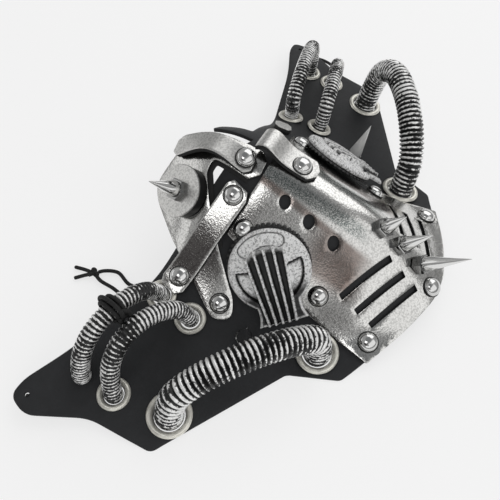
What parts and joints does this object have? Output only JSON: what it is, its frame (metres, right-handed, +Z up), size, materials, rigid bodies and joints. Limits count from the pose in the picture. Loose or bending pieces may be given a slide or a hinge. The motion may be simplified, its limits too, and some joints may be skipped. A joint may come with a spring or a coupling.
{
  "type": "steampunk half mask",
  "caption": "Half face mask of black leather with ear wings, a riveted silver nose plate, a raised eye surround, spikes, cast medallions and arched corrugated hoses on the wings.",
  "frame": {"origin": "on the table, under the middle of the mask's length and width, without the elastic", "axes": "+X to the wearer's left along the wings, +Y to the forehead, +Z up from the table out of the face"},
  "size_m": [0.326, 0.1987, 0.0719],
  "materials": {
    "black_leather": "matte, fine grain",
    "silver_leather": "metallised, satin, fine grain",
    "chrome": "polished",
    "nickel": "smooth, slightly yellow",
    "hose_skin": "ribs rubbed with silver over black",
    "pewter": "antique, dark in the recesses",
    "black_rubber": "matte",
    "elastic": "woven, matte"
  },
  "bodies": {
    "root": {"base": "black_leather", "grommet_right_hose_rear": "nickel", "grommet_right_hose_front": "nickel", "grommet_right_tube_a_front": "nickel", "grommet_right_tube_b_rear": "nickel", "grommet_right_tube_b_front": "nickel", "grommet_left_hose_rear": "nickel", "grommet_left_hose_front": "nickel", "grommet_left_tube_a_rear": "nickel", "grommet_left_tube_a_front": "nickel", "grommet_left_tube_b_rear": "nickel", "grommet_left_tube_b_front": "nickel", "muzzle_plate": "silver_leather", "eye_piece": "silver_leather", "eye_pad": "black_rubber", "eye_disc": "silver_leather", "brow_strap": "silver_leather", "nose_strap": "silver_leather", "cheek_strap": "silver_leather", "temple_strap": "silver_leather", "rivet_plate_top_right": "chrome", "rivet_plate_mid_right": "chrome", "rivet_plate_low_right": "chrome", "rivet_plate_top_left": "chrome", "rivet_plate_mid_left": "chrome", "rivet_plate_low_left": "chrome", "rivet_chin": "chrome", "rivet_cheek_low": "chrome", "rivet_cheek_top": "chrome", "rivet_lug": "chrome", "rivet_brow": "chrome", "rivet_nose": "chrome", "spike_mouth_1": "chrome", "spike_mouth_2": "chrome", "spike_mouth_3": "chrome", "spike_wing_right": "chrome", "spike_wing_left": "chrome", "spike_eye": "chrome", "medallion_ring_right": "black_rubber", "medallion_right": "pewter", "medallion_ring_left": "black_rubber", "medallion_left": "pewter", "hose_right_tube_a": "hose_skin", "tube_wrap": "elastic", "hose_right_tube_b": "hose_skin", "hose_right_hose": "hose_skin", "hose_left_tube_a": "hose_skin", "hose_left_tube_b": "hose_skin", "hose_left_hose": "hose_skin", "elastic_long": "elastic", "elastic_short": "elastic", "elastic_knot": "elastic"}
  },
  "joints": []
}
